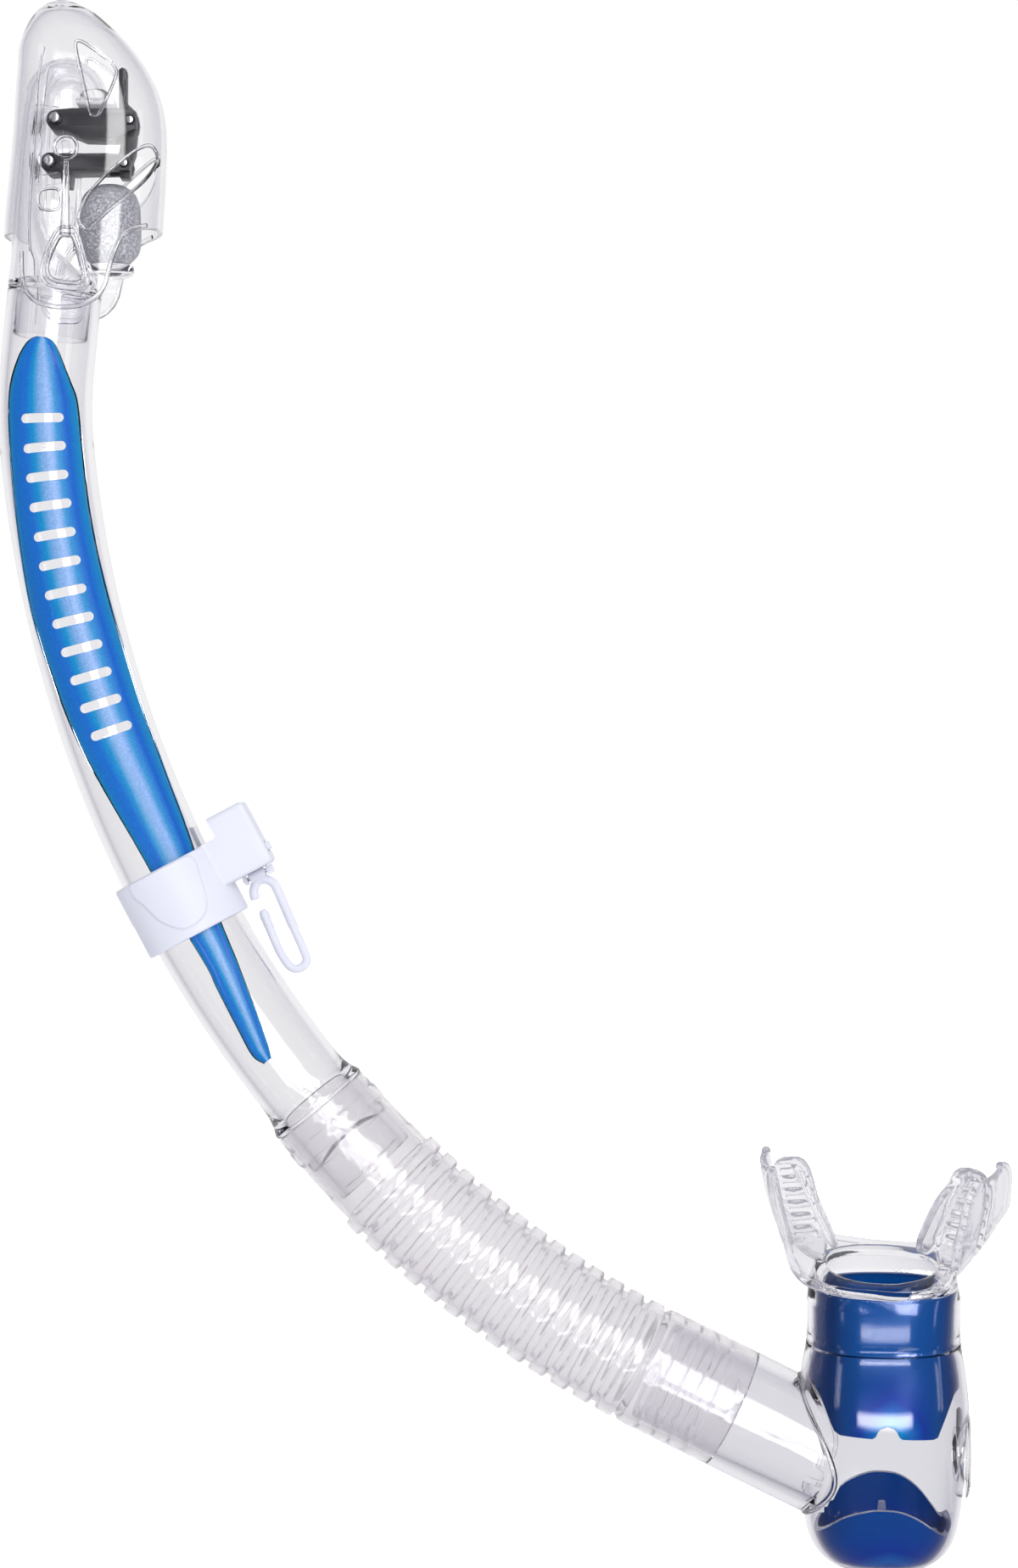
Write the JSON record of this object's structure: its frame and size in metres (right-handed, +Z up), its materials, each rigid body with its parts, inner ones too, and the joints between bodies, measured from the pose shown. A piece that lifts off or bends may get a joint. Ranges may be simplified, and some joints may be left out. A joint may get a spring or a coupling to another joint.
{
  "type": "snorkel tube",
  "caption": "Dry-top snorkel: bent clear tube with float valve head, sliding keeper with strap hook, corrugated silicone hose, and swivelling purge chamber with bite mouthpiece.",
  "frame": {"origin": "centre of the flat outer face of the keeper block (the strap pad)", "axes": "+Z up the tube towards the dry-top head, +X towards the mouthpiece, +Y away from the inlay side; the tube bends in the XZ plane"},
  "size_m": [0.2623, 0.0527, 0.41],
  "materials": {
    "clear_plastic": "clear polished polycarbonate",
    "clear_silicone": "clear silicone, slightly milky, satin",
    "mouth_silicone": "clear food-grade silicone, smooth",
    "pearl_blue": "pearlescent blue, glossy",
    "deep_blue": "deep metallic blue, high gloss",
    "white_plastic": "white, fine satin",
    "black_plastic": "black acetal, satin",
    "float_grey": "grey closed-cell float, fine grain",
    "pin_steel": "polished stainless pin"
  },
  "bodies": {
    "tube": {"upper_tube": "clear_plastic", "tube_inlay": "pearl_blue", "valve_head": "clear_plastic", "guard_hood": "clear_plastic", "seal_arm_pin": "pin_steel", "float_arm_pin": "pin_steel"},
    "float_arm": {"float_arm": "black_plastic"},
    "seal_arm": {"seal_arm": "black_plastic", "seal_pad": "clear_silicone"},
    "float_link": {"link_bar": "black_plastic", "link_pin_lower": "pin_steel", "link_pin_upper": "pin_steel", "float_body": "float_grey", "float_cap": "clear_plastic"},
    "keeper": {"keeper_collar": "white_plastic"},
    "release_button": {"release_button": "white_plastic"},
    "hook_carrier": {"hook_carrier": "white_plastic", "hook_pin": "pin_steel"},
    "strap_hook": {"strap_hook": "white_plastic"},
    "hose": {"corrugated_hose": "clear_silicone"},
    "chamber": {"chamber_body": "clear_plastic", "neck_shroud": "deep_blue", "purge_cover": "deep_blue", "purge_seat": "clear_plastic", "side_cap": "clear_plastic", "mouthpiece": "mouth_silicone"},
    "membrane": {"purge_membrane": "clear_silicone"}
  },
  "joints": [
    {"name": "float_arm_hinge", "type": "hinge", "parent": "tube", "child": "float_arm", "pos_m": [-0.0538, 0, 0.1742], "axis": [0, -1, 0], "range_deg": [0, 12]},
    {"name": "seal_arm_hinge", "type": "hinge", "parent": "tube", "child": "seal_arm", "pos_m": [-0.0523, 0, 0.1853], "axis": [0, -1, 0], "range_deg": [0, 12]},
    {"name": "float_link_hinge", "type": "hinge", "parent": "float_arm", "child": "float_link", "pos_m": [-0.0348, 0, 0.1742], "axis": [0, -1, 0], "range_deg": [-12, 0]},
    {"name": "keeper_slide", "type": "hinge", "parent": "tube", "child": "keeper", "pos_m": [0.2578, 0, 0.1293], "axis": [0, 1, 0], "range_deg": [-3.5, 19]},
    {"name": "release_press", "type": "slide", "parent": "keeper", "child": "release_button", "axis": [-0.8833, 0, -0.4689], "range_m": [0, 0.0008]},
    {"name": "carrier_release", "type": "slide", "parent": "keeper", "child": "hook_carrier", "axis": [0.4689, 0, -0.8833], "range_m": [0, 0.006]},
    {"name": "hook_swing", "type": "hinge", "parent": "hook_carrier", "child": "strap_hook", "pos_m": [-0.00038, 0, -0.01164], "axis": [0.8833, 0, 0.4689], "range_deg": [-80, 80]},
    {"name": "hose_flex", "type": "hinge", "parent": "tube", "child": "hose", "pos_m": [0.06388, 0, -0.11694], "axis": [0, 1, 0], "range_deg": [-30, 20], "stiffness_Nm_per_rad": 1, "springref_deg": -2.25, "deforming": ["corrugated_hose"]},
    {"name": "chamber_swivel", "type": "hinge", "parent": "hose", "child": "chamber", "pos_m": [0.12374, 0, -0.15116], "axis": [0.8972, 0, -0.4416], "range_deg": [-50, 30]},
    {"name": "purge_open", "type": "slide", "parent": "chamber", "child": "membrane", "axis": [0.006, 0.1558, -0.9878], "range_m": [0, 0.0015], "stiffness_N_per_m": 10, "springref_m": -0.00031}
  ],
  "couplings": [
    {"joint": "seal_arm_hinge", "follows": "float_arm_hinge", "ratio": 1},
    {"joint": "float_link_hinge", "follows": "float_arm_hinge", "ratio": -1}
  ]
}
